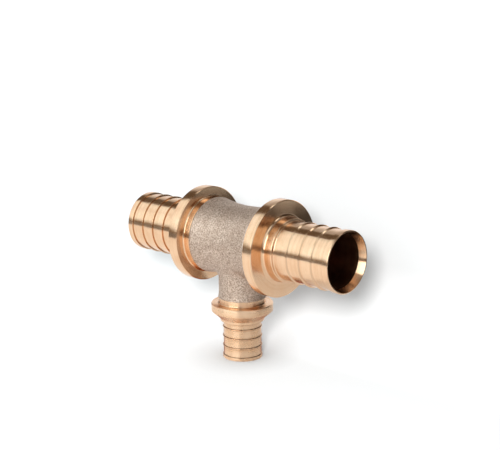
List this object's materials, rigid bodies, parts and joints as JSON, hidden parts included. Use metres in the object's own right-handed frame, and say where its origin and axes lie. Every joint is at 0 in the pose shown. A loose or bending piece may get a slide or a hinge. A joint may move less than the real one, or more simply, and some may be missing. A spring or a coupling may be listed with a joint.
{
  "type": "reducing tee fitting for sliding sleeve pipe joints",
  "caption": "Reducing pipe tee in one piece: straight run with a collar and a ribbed spigot at each end, and a smaller collared ribbed spigot as the branch.",
  "frame": {"origin": "crossing point of the run axis and the branch axis", "axes": "+X along the run, -Z down the branch, +Y across both"},
  "size_m": [0.1182, 0.0426, 0.0751],
  "materials": {
    "gunmetal": "turned bright on the ends, blasted and dull on the cast body"
  },
  "bodies": {
    "root": {"tee_body": "gunmetal"}
  },
  "joints": []
}
